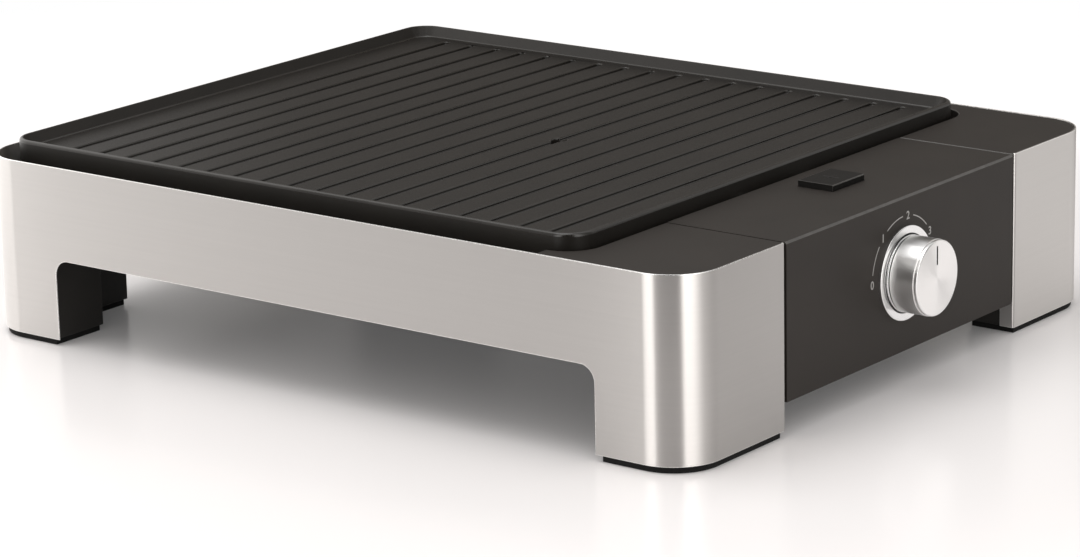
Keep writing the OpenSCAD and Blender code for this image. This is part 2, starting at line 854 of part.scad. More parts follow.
module heating_element() {
    color([0.3, 0.3, 0.3]) {
        for (side = [-1, 1]) on_side(side) {
            bar_x(inner_x, tube_end, -run_inner, tube_z, tube_d);
            bend(inner_x, -run_inner - inner_bend, inner_bend, 90, 180);
            bar_x(inner_x, bend_x, -run_middle, tube_z, tube_d);
            bend(bend_x, -run_middle - bend_r, bend_r, -90, 180);
            bar_x(tube_x0 + outer_bend, bend_x, -run_outer, tube_z, tube_d);
            bend(tube_x0 + outer_bend, outer_bend - run_outer, outer_bend, 180, 90);
        }
        translate([tube_x0, outer_bend - run_outer, tube_z]) rotate([-90, 0, 0])
            cylinder(h = 2 * (run_outer - outer_bend), d = tube_d);
    }
}

module element_insulators() {
    x0 = box_x0 - insulator_out;
    x1 = box_in_x0 + insulator_in;
    color("ivory") for (y = [-run_inner, run_inner]) difference() {
        union() {
            bar_x(x0, x1, y, tube_z, insulator_d);
            bar_x(box_in_x0, box_in_x0 + insulator_flange_t, y, tube_z, insulator_flange);
        }
        bar_x(x0 - cut, x1 + cut, y, tube_z, tube_d + screw_gap);
    }
}

module element_brackets() {
    z0 = refl_z + refl_t;
    half = run_outer + bracket_margin;
    cut_out = inner_bend - bracket_land;
    color("silver") for (x = bracket_x) difference() {
        union() {
            block(x, x + bracket_t, -half, half, z0, bracket_top);
            block(x, x + bracket_foot, -half, half, z0, z0 + bracket_t);
        }
        for (y = [run_inner, run_middle, run_outer], side = [-1, 1]) {
            bar_x(x - cut, x + bracket_t + cut, side * y, tube_z, tube_d + screw_gap);
            block(x - cut, x + bracket_t + cut, side * y - tube_r, side * y + tube_r,
                tube_z, tube_z + tube_d);
        }
        for (y = [-1, 1] * (run_inner + run_middle) / 2)
            block(x - cut, x + bracket_t + cut, y - cut_out, y + cut_out, z0 + bracket_sill,
                bracket_top + cut);
    }
}

// ---- Reflector ----

module reflector_plan(grow) {
    translate([refl_x, 0]) rounded_rect(refl_l + 2 * grow, refl_w + 2 * grow, refl_r + grow);
}

module heat_reflector() {
    color([0.72, 0.72, 0.7]) difference() {
        union() {
            translate([0, 0, refl_z]) linear_extrude(refl_h + refl_t) reflector_plan(0);
            translate([0, 0, refl_z + refl_h]) linear_extrude(refl_t) reflector_plan(refl_flange);
            translate([drain_x, 0, refl_z - spout_h])
                cylinder(h = spout_h + refl_t, d = spout_d + 2 * refl_t);
        }
        translate([0, 0, refl_z + refl_t]) linear_extrude(refl_h + cut) reflector_plan(-refl_t);
        translate([drain_x, 0, refl_z - spout_h - cut]) cylinder(h = refl_h, d = spout_d);
        for (x = support_x, side = [-1, 1]) translate([x, side * support_y, refl_z - cut])
            cylinder(h = refl_t + 2 * cut, d = screw_d + screw_gap);
    }
}

module reflector_standoffs() {
    h = refl_z - pan_floor;
    color("silver") for (x = support_x, side = [-1, 1])
        translate([x, side * support_y, pan_floor]) difference() {
            cylinder(h = h, d = standoff_d);
            translate([0, 0, -cut]) cylinder(h = h + 2 * cut, d = screw_d + screw_gap);
        }
}

// Long screws from under the base pan, through the standoffs and into the supports
module reflector_screws() {
    color("dimgray") for (x = support_x, side = [-1, 1])
        translate([x, side * support_y, base_z]) screw_up(refl_z - base_z + support_hole - 2);
}

// ---- Drip tray ----

module drip_tray() {
    color([0.13, 0.13, 0.13]) difference() {
        union() {
            block(tray_x0, tray_x1, -tray_y, tray_y, tray_bottom, tray_top);
            block(tray_x0, tray_x1, -tray_y - tray_rim, tray_y + tray_rim, tray_top - tray_t, tray_top);
        }
        block(tray_x0 + tray_t, tray_x1 - tray_t, -tray_y + tray_t, tray_y - tray_t,
            tray_bottom + tray_t, tray_top + cut);
        for (side = [-1, 1])
            bar_x(tray_x0 - cut, tray_x0 + tray_t + cut, side * tray_screw_y, tray_screw_z,
                screw_d + screw_gap);
    }
}

module drip_tray_front() {
    x0 = tray_front_x0;
    color([0.1, 0.1, 0.1]) difference() {
        block(x0, x0 + tray_front_t, -box_y, box_y, opening_h, tray_front_top);
        for (side = [-1, 1])
            bar_x(x0 + wall, tray_x0 + cut, side * tray_screw_y, tray_screw_z, screw_d + screw_gap);
    }
}

module tray_screws() {
    color("dimgray") for (side = [-1, 1]) {
        y = side * tray_screw_y;
        head_x = tray_x0 + tray_t;
        bar_x(tray_front_x0 + wall + fit, head_x + eps, y, tray_screw_z, screw_d);
        bar_x(head_x, head_x + tray_screw_head, y, tray_screw_z, head_d);
    }
}

module tray_runner(side) {
    color("silver") on_side(side) {
        block(runner_x0, runner_x1, -runner_y - runner_t, -runner_y, pan_floor, runner_top);
        block(runner_x0, runner_x1, -runner_y - runner_foot, -runner_y, pan_floor, pan_floor + runner_t);
        block(runner_x0, runner_x1, -runner_y - runner_t, runner_lip - runner_y,
            runner_top - runner_t, runner_top);
    }
}

// ---- Cord inlet and wiring ----

module cord_grommet() {
    x0 = box_x0 - grommet_out;
    x1 = box_in_x0 + grommet_in;
    color([0.04, 0.04, 0.04]) difference() {
        union() {
            bar_x(x0, x1, cord_y, cord_z, grommet_d - screw_gap);
            bar_x(x0, box_x0 - fit, cord_y, cord_z, grommet_flange[0]);
            bar_x(box_in_x0 + fit, x1, cord_y, cord_z, grommet_flange[1]);
        }
        bar_x(x0 - cut, x1 + cut, cord_y, cord_z, cord_bore);
    }
}

module terminal_block() {
    color("ivory") difference() {
        block(block_x, block_x + block_l, block_y - block_w / 2, block_y + block_w / 2,
            box_inner_z, block_top);
        for (pole = [-1:1])
            translate([block_x + block_l / 2, block_y + pole_pitch * pole, box_inner_z + pole_floor])
                cylinder(h = block_h, d = pole_d);
    }
}

module thermal_fuse() {
    color("white") translate([fuse_x, fuse_y, fuse_z]) rotate([-90, 0, 0]) cylinder(h = fuse_l, d = fuse_d);
}

// A lead from one place to another. It leaves a along the vector out and comes to b along in,
// and it never runs along the vector across.
module lead(a, out, b, in, across) {
    c = a + out;
    d = b - in;
    path = [for (k = [0:lead_steps]) let (t = k / lead_steps, s = 1 - t)
        [s * s * s * a + 3 * s * s * t * c + 3 * s * t * t * d + t * t * t * b,
            s * s * (c - a) + 2 * s * t * (d - c) + t * t * (b - d)]];
    swept_tube(path, lead_d, across);
}

module internal_leads() {
    back = [-lead_bow, 0, 0];
    up = [0, 0, lead_bow];
    front = [0, -lead_bow, 0];
    thermo_x = box_in_x1 - thermo_d;
    color("indianred") {
        // from the terminal block to the thermostat
        lead([block_x + lead_d, block_y - pole_pitch, block_top], 2 * up,
            [thermo_x, 8, knob_z - 4], -back, [1, 0, -1]);
        // from the thermostat to the element's front end
        lead([thermo_x, -8, knob_z + 6], back, [tube_end, -run_inner, tube_z], back, [0, 1, 1]);
        // from the terminal block to the fuse
        lead([block_x + lead_d, block_y, block_top], up,
            [fuse_x, fuse_y + fuse_l, fuse_z], front / 2, [1, 0, 0]);
        // from the fuse to the element's rear end
        lead([fuse_x, fuse_y, fuse_z], front / 2, [tube_end, run_inner, tube_z], back, [1, -1, 0]);
    }
}

in_place() steel_panel(-1);  // front_steel_panel
in_place() steel_panel(1);  // rear_steel_panel
in_place() frame(-1);  // front_frame
in_place() frame(1);  // rear_frame
in_place() foot(-1, -1);  // foot_front_left
in_place() foot(-1, 1);  // foot_front_right
in_place() foot(1, -1);  // foot_rear_left
in_place() foot(1, 1);  // foot_rear_right
in_place() foot_screws();
in_place() base_pan();
in_place() base_pan_screws();
in_place() left_end_cover();
in_place() deck(-1);  // deck_front
in_place() deck(1);  // deck_rear
in_place() control_box_cover();
in_place() control_box_base();
in_place() control_box_screws();
in_place() knob_bezel();
in_place() knob_shell();
in_place() knob_insert();
in_place() knob_pointer();
in_place() thermostat_shaft();
in_place() thermostat_body();
in_place() thermostat_nut();
in_place() push_button();
in_place() button_window();
in_place() button_spring();
in_place() button_switch();
in_place() switch_bracket();
in_place() grill_plate();
in_place() plate_supports();
in_place() heating_element();
in_place() element_insulators();
in_place() element_brackets();
in_place() heat_reflector();
in_place() reflector_standoffs();
in_place() reflector_screws();
in_place() drip_tray();
in_place() drip_tray_front();
in_place() tray_screws();
in_place() tray_runner(-1);  // tray_runner_front
in_place() tray_runner(1);  // tray_runner_rear
in_place() cord_grommet();
in_place() terminal_block();
in_place() thermal_fuse();
in_place() internal_leads();
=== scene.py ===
"""The looks of an electric table grill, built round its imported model. Metres throughout."""
import json
import math

import bmesh
import bpy
from mathutils import Matrix, Vector
from mathutils.geometry import delaunay_2d_cdt


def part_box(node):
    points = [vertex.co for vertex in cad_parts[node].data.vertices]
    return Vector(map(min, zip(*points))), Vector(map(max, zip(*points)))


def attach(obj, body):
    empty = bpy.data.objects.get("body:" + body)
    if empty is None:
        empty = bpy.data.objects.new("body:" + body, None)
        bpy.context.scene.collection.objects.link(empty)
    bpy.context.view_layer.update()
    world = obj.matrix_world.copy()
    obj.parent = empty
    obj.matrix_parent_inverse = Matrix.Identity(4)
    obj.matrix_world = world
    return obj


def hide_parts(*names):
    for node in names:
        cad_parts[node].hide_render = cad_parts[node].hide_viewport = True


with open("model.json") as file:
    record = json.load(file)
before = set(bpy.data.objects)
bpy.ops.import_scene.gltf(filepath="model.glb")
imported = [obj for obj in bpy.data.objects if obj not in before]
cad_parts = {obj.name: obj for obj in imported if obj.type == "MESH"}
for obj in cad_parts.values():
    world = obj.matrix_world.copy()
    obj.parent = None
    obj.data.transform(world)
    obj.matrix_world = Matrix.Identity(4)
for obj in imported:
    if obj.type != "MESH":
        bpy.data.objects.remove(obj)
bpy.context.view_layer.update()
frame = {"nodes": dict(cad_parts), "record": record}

MM = 0.001
# points this near count as one
TOUCH = 1e-7

# ---- Camera, at the photograph's viewing angle: degrees, and millimetres for lens and sensor ----

CAMERA_AT = (1.3382, -1.7491, 0.6300)
CAMERA_YAW = 37.632
CAMERA_PITCH = 15.403
CAMERA_ROLL = -1.184
CAMERA_LENS = 134.26
SENSOR_W = 36

# ---- Steel panels ----

SHEET_T = 1 * MM
SHEET_EDGE = 0.42 * MM
CORNER_R = 27.5 * MM
CORNER_FOLDS = 24
# the sheet turns in at both ends: radius, length of the turned part and its top
RETURN_R = 1.4 * MM
RETURN_L = 9 * MM
RETURN_TOP = 92.5 * MM
RETURN_FOLDS = 4
LEG_L = 57.4 * MM
OPENING_TOP = 50 * MM
OPENING_R = 9 * MM
OPENING_STEPS = 8
# the brushing is drawn out this much along each axis
SHEET_GRAIN = (90, 90, 1)
REFLECTOR_GRAIN = (60, 1, 60)

# ---- Rounding of edges ----

ROUNDING = {
    "front_frame": 0.5 * MM, "rear_frame": 0.5 * MM,
    "foot_front_left": 0.4 * MM, "foot_front_right": 0.4 * MM,
    "foot_rear_left": 0.4 * MM, "foot_rear_right": 0.4 * MM,
    "base_pan": 0.25 * MM, "left_end_cover": 0.6 * MM,
    "deck_front": 0.5 * MM, "control_box_base": 0.4 * MM,
    "drip_tray": 0.25 * MM, "drip_tray_front": 0.8 * MM,
    "tray_runner_front": 0.3 * MM, "tray_runner_rear": 0.3 * MM,
    "heat_reflector": 0.2 * MM, "element_brackets": 0.25 * MM,
    "plate_supports": 0.5 * MM, "element_insulators": 0.4 * MM,
    "terminal_block": 0.4 * MM, "button_switch": 0.5 * MM, "switch_bracket": 0.25 * MM,
    "thermostat_body": 0.5 * MM, "cord_grommet": 0.4 * MM,
}

COVER_EDGE = 0.15 * MM
COVER_SEAM_EDGE = 0.45 * MM
# edges this near the cover's near side lie along the seam
SEAM_REACH = 0.1 * MM
# the cover's chamfer is where a face leans at least this much both outwards and up
CHAMFER_LEAN = 0.3
FAR_DECK_EDGE = 0.5 * MM

PLATE_EDGE = 0.8 * MM
PLATE_CORNER_R = 16 * MM
RIM_OUTER_EDGE = 1.8 * MM
RIM_INNER_EDGE = 0.3 * MM
# edges this near the plate's highest point lie on the rim's top
RIM_TOP_REACH = 0.01 * MM
# edges of the rim's top within this much of the plate's outline are outer ones
RIM_OUTER_BAND = 1.6 * MM

# ---- Push button ----

BUTTON_EDGE = 0.08 * MM
BUTTON_HIGHLIT_EDGE = 0.7 * MM
# the edges with the wide painted highlight lie within these distances of the button's end, near side and top
HIGHLIT_FROM_SIDE = 2 * MM
HIGHLIT_FROM_TOP = 1 * MM
WINDOW_EDGE = 0.12 * MM
MARK_L = 10.5 * MM
MARK_W = 0.9 * MM
MARK_R = 0.3 * MM
MARK_T = 0.04 * MM

# ---- Knob and bezel ----

# the cap's side lies this far inside its node's box
CAP_INSET = 0.5 * MM
CAP_WALL = 1.6 * MM
CAP_BACK_EDGE = 0.35 * MM
CAP_LIP_EDGE = 0.3 * MM
CAP_SHOULDER_EDGE = 0.2 * MM
CAP_FACE_EDGE = 0.7 * MM
SHOULDER_INSET = 0.25 * MM
GROOVE_FROM_FACE = 1.7 * MM
GROOVE_W = 0.5 * MM
GROOVE_DEPTH = 0.6 * MM
POINTER_EDGE = 0.12 * MM

BEZEL_EDGE = 0.5 * MM
BEZEL_BORE_R = 21.6 * MM
BEZEL_BORE_EDGE = 0.3 * MM
BEZEL_HOLE_R = 17.4 * MM
RECESS_FLOOR_T = 1.0 * MM
# the recess is black up to this much over its floor, and from this much inside its wall
RECESS_BLACK_H = 0.9 * MM
RECESS_BLACK_GAP = 0.05 * MM
BEAD_R = 20.4 * MM
BEAD_HALF_W = 0.55 * MM
BEAD_EDGE = 0.5 * MM
BEAD_TO_CAP = 0.6 * MM
INNER_CORNER = 0.1 * MM

# ---- Dial: numbers from 0, arcs between them, angles in degrees ----

DIAL_R = 31 * MM
DIAL_FIRST = 180
DIAL_STEP = 48.5
DIAL_LAST = 4
DIAL_END = -45
DIAL_LINE = 0.55 * MM
DIAL_ARC_STEPS = 10
DIGIT_H = 4.4 * MM
DIGIT_BOLD = 0.1 * MM
DIGIT_SPACE = 9.7
# a digit's height as a share of the font's size
DIGIT_SHARE = 0.7
PRINT_T = 0.05 * MM
PRINT_EDGE = 0.01 * MM

# ---- Studio ----

FLOOR_HALF = 8
FLOOR_COLOUR = (0.95, 0.91, 0.895)
FLOOR_ROUGHNESS = 0.2
FLOOR_GLOSS = 0.5
# distances from the middle between which the floor's gloss fades out, and its white comes up
FLOOR_GLOSS_FADE = (0.33, 0.52)
FLOOR_FADE = (0.45, 1.0)
# the floor glows this much white even near the object, painted light that lightens the object's shadow
FLOOR_GLOW = 0.06
WORLD_LEVEL = 0.88
LAMP_AT = (-0.5, -0.4, 2.0)
LAMP_AIM = (0, 0, 0.1)
LAMP_SIZE = 1.6
LAMP_POWER = 20
WALL_R = 0.62
WALL_STEPS = 96
WALL_FOOT = 0.002
WALL_H = 1.2
WALL_BACK_H = 0.75
WALL_FULL = 3.0
WALL_TINT = (1, 0.985, 0.965)
WALL_BACK = (150, 245)
WALL_BACK_TINT = (1, 0.93, 0.86)
# azimuth in degrees from the front towards the control end, and the light seen there
WALL_GLOW = [(-90, 2.0), (-50, 2.0), (-45, 1.0), (-30, 0.7), (-9, 0.45), (0, 3.0), (15, 3.0), (17, 0.0),
    (51, 0.0), (53, 3.0), (65, 3.0), (79, 0.85), (95, 0.35), (118, 0.26), (127, 0.9), (145, 0.9), (165, 0.3),
    (235, 0.25), (256, 0.7), (270, 2.0)]

# ---- What the frame says ----

NODES = frame["nodes"]
RECORD = frame["record"]
SLOT_OF = {part["node"]: part["material_slot"] for part in RECORD["subparts"]}
COLOUR_OF = {m["slot"]: m["base_color"] for m in RECORD["materials"]}
BODY_OF = {node: body for body, nodes in RECORD["behaviour"]["bodies"].items() for node in nodes}


def make_camera():
    data = bpy.data.cameras.new("camera")
    data.sensor_width = SENSOR_W
    data.lens = CAMERA_LENS
    camera = bpy.data.objects.new("camera", data)
    turn = Matrix.Rotation(math.radians(CAMERA_YAW), 4, "Z")
    tilt = Matrix.Rotation(math.radians(90 - CAMERA_PITCH), 4, "X")
    roll = Matrix.Rotation(math.radians(CAMERA_ROLL), 4, "Z")
    camera.matrix_world = Matrix.Translation(CAMERA_AT) @ turn @ tilt @ roll
    bpy.context.collection.objects.link(camera)
    bpy.context.scene.camera = camera


# ---- Shader nodes ----


class Shader:
    """A material under construction: its node tree and its main shader."""

    def __init__(self, name, colour, roughness, metallic=0.0, **sockets):
        self.material = bpy.data.materials.new(name)
        self.material.use_nodes = True
        self.tree = self.material.node_tree
        self.main = self.tree.nodes["Principled BSDF"]
        self.main.inputs["Base Color"].default_value = (*colour, 1)
        self.main.inputs["Roughness"].default_value = roughness
        self.main.inputs["Metallic"].default_value = metallic
        for socket, value in sockets.items():
            self.main.inputs[socket.replace("_", " ")].default_value = value

    def add(self, kind, **inputs):
        node = self.tree.nodes.new("ShaderNode" + kind)
        for socket, value in inputs.items():
            self.feed(node.inputs[socket.replace("_", " ")], value)
        return node

    def feed(self, socket, value):
        if isinstance(value, bpy.types.NodeSocket):
            self.tree.links.new(value, socket)
        else:
            socket.default_value = value

    def place(self, scale=(1, 1, 1)):
        """The point in the row frame, stretched by scale."""
        coordinates = self.add("TexCoord").outputs["Object"]
        return self.add("Mapping", Vector=coordinates, Scale=scale).outputs["Vector"]

    def noise(self, size, stretch=(1, 1, 1), detail=3.0, rough=0.5):
        """Noise whose features are about size across, before they are stretched."""
        where = self.place(tuple(1 / s for s in stretch))
        node = self.add("TexNoise", Vector=where, Scale=1 / size, Detail=detail, Roughness=rough)
        return node.outputs["Fac"]

    def spread(self, value, low, high, start=0.3, end=0.7):
        """The value between start and end, mapped to low and high."""
        node = self.add("MapRange", Value=value)
        for socket, number in zip(("From Min", "From Max", "To Min", "To Max"), (start, end, low, high)):
            node.inputs[socket].default_value = number
        return node.outputs["Result"]

    def tint(self, value, dark, light):
        """A colour from dark to light, by a value from 0 to 1. Each is three numbers or a socket."""
        node = self.tree.nodes.new("ShaderNodeMix")
        node.data_type = "RGBA"
        self.feed(node.inputs["Factor"], value)
        for socket, colour in zip([s for s in node.inputs if s.type == "RGBA"], (dark, light)):
            self.feed(socket, colour if isinstance(colour, bpy.types.NodeSocket) else (*colour, 1))
        return next(s for s in node.outputs if s.type == "RGBA")

    def radial_tangent(self, axis):
        node = self.add("Tangent")
        node.direction_type = "RADIAL"
        node.axis = axis
        return node.outputs["Tangent"]

    def bump(self, height, depth, under=None):
        node = self.add("Bump", Height=height, Distance=depth, Strength=1.0)
        if under is not None:
            self.feed(node.inputs["Normal"], under)
        return node.outputs["Normal"]

    def set(self, **links):
        for socket, value in links.items():
            self.feed(self.main.inputs[socket.replace("_", " ")], value)


def shade(colour, factor):
    return tuple(min(1, c * factor) for c in colour)


# ---- Materials ----


def moulded_plastic(slot, colour, roughness=0.5, shine=0.3):
    """Moulded plastic with a fine spark-eroded grain and faint flow marks."""
    s = Shader(slot, colour, roughness, Specular_IOR_Level=shine)
    cloud = s.noise(35 * MM, detail=2)
    grain = s.noise(0.35 * MM, detail=4, rough=0.6)
    s.set(Base_Color=s.tint(s.spread(cloud, 0, 1), shade(colour, 0.92), shade(colour, 1.08)),
        Roughness=s.spread(grain, roughness - 0.05, roughness + 0.05),
        Normal=s.bump(grain, 0.02 * MM))
    return s.material


def brushed_metal(slot, colour, roughness, stretch, anisotropy=1.0, axis="Z"):
    """Sheet metal brushed along the directions in which stretch is long."""
    s = Shader(slot, colour, roughness, metallic=1.0, Anisotropic=anisotropy, Anisotropic_Rotation=0.25)
    depth = 0.001 * MM
    hair = s.noise(0.25 * MM, stretch, detail=3, rough=0.6)
    band = s.noise(1.6 * MM, stretch, detail=2)
    s.set(Base_Color=s.tint(s.spread(band, 0, 1), shade(colour, 0.988), shade(colour, 1.012)),
        Roughness=s.spread(band, roughness - 0.02, roughness + 0.02, 0, 1),
        Normal=s.bump(hair, depth, under=s.bump(band, depth)),
        Tangent=s.radial_tangent(axis))
    return s.material


def chrome(slot, roughness):
    """Polished plating, a little uneven."""
    s = Shader(slot, COLOUR_OF[slot], roughness, metallic=1.0)
    cloud = s.noise(8 * MM, detail=3)
    s.set(Roughness=s.spread(cloud, roughness - 0.02, roughness + 0.04))
    return s.material


def turned_metal(slot, colour, roughness, anisotropy):
    """Plated metal turned on a lathe, with fine marks round the axis along X."""
    s = Shader(slot, colour, roughness, metallic=1.0, Anisotropic=anisotropy, Anisotropic_Rotation=0.25)
    cloud = s.noise(7 * MM, detail=3)
    s.set(Roughness=s.spread(cloud, roughness - 0.02, roughness + 0.03), Tangent=s.radial_tangent("X"))
    return s.material


def coated_cast(slot):
    """Cast aluminium under a black non-stick coating, with a sprayed grain and pale flecks."""
    colour, fleck_colour = (0.0125, 0.0102, 0.0078), (0.07, 0.067, 0.062)
    roughness = 0.42
    s = Shader(slot, colour, roughness, Specular_IOR_Level=0.28)
    cloud = s.noise(25 * MM, detail=3)
    spray = s.noise(0.8 * MM, detail=5, rough=0.65)
    fleck = s.add("TexVoronoi", Vector=s.place(), Scale=1 / (2.4 * MM)).outputs["Distance"]
    base = s.tint(s.spread(cloud, 0, 1), shade(colour, 0.88), shade(colour, 1.12))
    s.set(Base_Color=s.tint(s.spread(fleck, 0.35, 0, start=0.03, end=0.07), base, fleck_colour),
        Roughness=s.spread(spray, roughness - 0.07, roughness + 0.07),
        Normal=s.bump(spray, 0.03 * MM))
    return s.material


def rubber(slot, colour=None):
    """Dull rubber, a little dusty."""
    colour = colour or COLOUR_OF[slot]
    s = Shader(slot, colour, 0.75, Specular_IOR_Level=0.2)
    dust = s.noise(6 * MM, detail=4)
    fine = s.noise(0.5 * MM, detail=3)
    s.set(Base_Color=s.tint(s.spread(dust, 0, 1), colour, shade(colour, 1.4)),
        Normal=s.bump(fine, 0.04 * MM))
    return s.material


def enamel(slot):
    """Baked black enamel with a slight orange peel."""
    s = Shader(slot, COLOUR_OF[slot], 0.3, Coat_Weight=0.3, Coat_Roughness=0.2)
    peel = s.noise(1.5 * MM, detail=2)
    s.set(Roughness=s.spread(peel, 0.26, 0.36), Normal=s.bump(peel, 0.015 * MM))
    return s.material


def plated(slot):
    """Zinc-plated steel: a pale, faintly spangled metal."""
    colour = COLOUR_OF[slot]
    s = Shader(slot, colour, 0.45, metallic=1.0)
    spangle = s.add("TexVoronoi", Vector=s.place(), Scale=1 / (2.5 * MM)).outputs["Color"]
    grey = s.add("RGBToBW", Color=spangle).outputs["Val"]
    s.set(Base_Color=s.tint(s.spread(grey, 0, 1), shade(colour, 0.93), shade(colour, 1.05)),
        Roughness=s.spread(grey, 0.42, 0.5))
    return s.material


def ceramic(slot):
    """Glazed ceramic with faint clouds."""
    colour = COLOUR_OF[slot]
    s = Shader(slot, colour, 0.25, Coat_Weight=0.4, Coat_Roughness=0.1)
    cloud = s.noise(3 * MM, detail=4)
    s.set(Base_Color=s.tint(s.spread(cloud, 0, 1), shade(colour, 0.93), colour),
        Normal=s.bump(cloud, 0.02 * MM))
    return s.material


def heated_steel(slot):
    """The element's sheath: dark oxide that is browner and lighter in patches."""
    colour = COLOUR_OF[slot]
    s = Shader(slot, colour, 0.5, metallic=0.8)
    patch = s.noise(14 * MM, detail=4)
    fine = s.noise(0.6 * MM, detail=4)
    s.set(Base_Color=s.tint(s.spread(patch, 0, 1), colour, (0.20, 0.16, 0.13)),
        Roughness=s.spread(fine, 0.42, 0.6), Normal=s.bump(fine, 0.02 * MM))
    return s.material


def polished_edge():
    """The sheet's cut edge, deburred and polished, and painted paler than the sheet as a highlight."""
    s = Shader("polished_edge", (0.86, 0.85, 0.83), 0.28, metallic=1.0)
    nick = s.noise(1.2 * MM, detail=3)
    s.set(Roughness=s.spread(nick, 0.22, 0.36))
    return s.material


def rubbed_plastic():
    """A moulding's edge, rubbed a little glossy, and painted pale in uneven patches as a highlight."""
    s = Shader("rubbed_plastic", (0.06, 0.055, 0.05), 0.34)
    wear = s.noise(5 * MM, detail=4)
    s.set(Base_Color=s.tint(s.spread(wear, 0, 1), (0.048, 0.044, 0.040), (0.072, 0.066, 0.060)))
    return s.material


def worn_coating():
    """The non-stick coating where wiping has smoothed it along the plate's edges, painted a little paler
    there as a highlight.
    """
    s = Shader("worn_coating", (0.017, 0.0145, 0.0118), 0.27, Specular_IOR_Level=0.45)
    wear = s.noise(40 * MM, detail=2)
    s.set(Base_Color=s.tint(s.spread(wear, 0, 1), (0.0130, 0.0108, 0.0085), (0.0210, 0.0182, 0.0150)),
        Roughness=s.spread(wear, 0.22, 0.34))
    return s.material


def dial_ink():
    """Pale grey ink with faint uneven cover."""
    s = Shader("dial_ink", (0.36, 0.35, 0.335), 0.5)
    cover = s.noise(0.4 * MM, detail=3)
    s.set(Base_Color=s.tint(s.spread(cover, 0, 1), (0.31, 0.30, 0.285), (0.41, 0.40, 0.385)))
    return s.material


BUILDERS = {
    "brushed_steel": lambda slot: brushed_metal(slot, (0.6, 0.58, 0.563), 0.36, SHEET_GRAIN),
    "black_frame": lambda slot: moulded_plastic(slot, (0.0165, 0.0145, 0.0125)),
    "foot_rubber": lambda slot: rubber(slot, (0.0055, 0.0053, 0.005)),
    "zinc_steel": plated,
    "black_enamel": enamel,
    "deck_plastic": lambda slot: moulded_plastic(slot, (0.0215, 0.0168, 0.0132), 0.55, 0.27),
    "bezel_chrome": lambda slot: chrome(slot, 0.18),
    "knob_chrome": lambda slot: turned_metal(slot, (0.86, 0.85, 0.84), 0.3, 0.8),
    "pointer_black": lambda slot: moulded_plastic(slot, (0.012, 0.012, 0.012), 0.4),
    "switch_plastic": lambda slot: moulded_plastic(slot, COLOUR_OF[slot], shine=0.5),
    "button_plastic": lambda slot: moulded_plastic(slot, (0.0085, 0.0075, 0.0065), 0.5, 0.15),
    "nonstick_plate": coated_cast,
    "ceramic": ceramic,
    "element_steel": heated_steel,
    "reflector_aluminium": lambda slot: brushed_metal(slot, COLOUR_OF[slot], 0.5, REFLECTOR_GRAIN, 0.4, "Y"),
    "tray_enamel": enamel,
    "lead_insulation": rubber,
}
MATERIALS = {slot: build(slot) for slot, build in BUILDERS.items()}
CUT_EDGE_HIGHLIGHT = polished_edge()
RUBBED_EDGE_HIGHLIGHT = rubbed_plastic()
COATING_EDGE_HIGHLIGHT = worn_coating()


def paint_nodes():
    """Every CAD node takes the finish of its own slot."""
    for name, node in NODES.items():
        node.data.materials.clear()
        node.data.materials.append(MATERIALS[SLOT_OF[name]])


# ---- Pieces ----


def finish_piece(name, bm, node, replaced=(), sharp=35, slot=None):
    """Makes a piece of the mesh. It rides on node's body and takes its slot, or the one given."""
    bmesh.ops.remove_doubles(bm, verts=bm.verts, dist=TOUCH)
    bmesh.ops.recalc_face_normals(bm, faces=bm.faces)
    mesh = bpy.data.meshes.new(name)
    bm.to_mesh(mesh)
    bm.free()
    piece = bpy.data.objects.new(name, mesh)
    bpy.context.collection.objects.link(piece)
    mesh.shade_smooth()
    mesh.set_sharp_from_angle(angle=math.radians(sharp))
    weighted = piece.modifiers.new("even_normals", "WEIGHTED_NORMAL")
    weighted.keep_sharp = True
    slot = slot or SLOT_OF[node]
    mesh.materials.append(MATERIALS[slot])
    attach(piece, BODY_OF[node])
    if replaced:
        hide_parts(*replaced)
    return piece


def middle_of(edge):
    return (edge.verts[0].co + edge.verts[1].co) / 2


def softened(node, width, own_width=None, angle=30, segments=2, edge_highlight=None):
    """A copy of a CAD node, its edges rounded by width, or by own_width(edge) where that isn't None."""
    bm = bmesh.new()
    bm.from_mesh(NODES[node].data)
    bmesh.ops.remove_doubles(bm, verts=bm.verts, dist=10 * TOUCH)
    bmesh.ops.dissolve_limit(bm, angle_limit=math.radians(0.5), verts=bm.verts, edges=bm.edges)
    weight = bm.edges.layers.float.new("bevel_weight_edge")
    widths = {}
    for edge in bm.edges:
        if len(edge.link_faces) == 2 and edge.calc_face_angle(0) > math.radians(angle):
            own = own_width(edge) if own_width else None
            widths[edge] = width if own is None else own
    widest = max(widths.values())
    for edge, own in widths.items():
        edge[weight] = own / widest
    piece = finish_piece(f"{node}_rounded", bm, node, [node])
    bevel = piece.modifiers.new("rounding", "BEVEL")
    bevel.limit_method = "WEIGHT"
    bevel.width = widest
    bevel.segments = segments
    bevel.use_clamp_overlap = False
    if edge_highlight:
        # the rounded faces take the painted edge highlight
        piece.data.materials.append(edge_highlight)
        bevel.material = 1
    # the rounding comes before the even normals
    piece.modifiers.move(1, 0)
    return piece


def arc(cx, cy, r, start, end, steps):
    """Points of an arc, from one angle to the other in degrees, both ends included."""
    angles = [math.radians(start + (end - start) * i / steps) for i in range(steps + 1)]
    return [(cx + r * math.cos(a), cy + r * math.sin(a)) for a in angles]


def rounded_rect(x0, x1, y0, y1, r, steps):
    """A rounded rectangle, anticlockwise."""
    corners = [(x1 - r, y0 + r, -90), (x1 - r, y1 - r, 0), (x0 + r, y1 - r, 90), (x0 + r, y0 + r, 180)]
    return [p for cx, cy, a in corners for p in arc(cx, cy, r, a, a + 90, steps)]


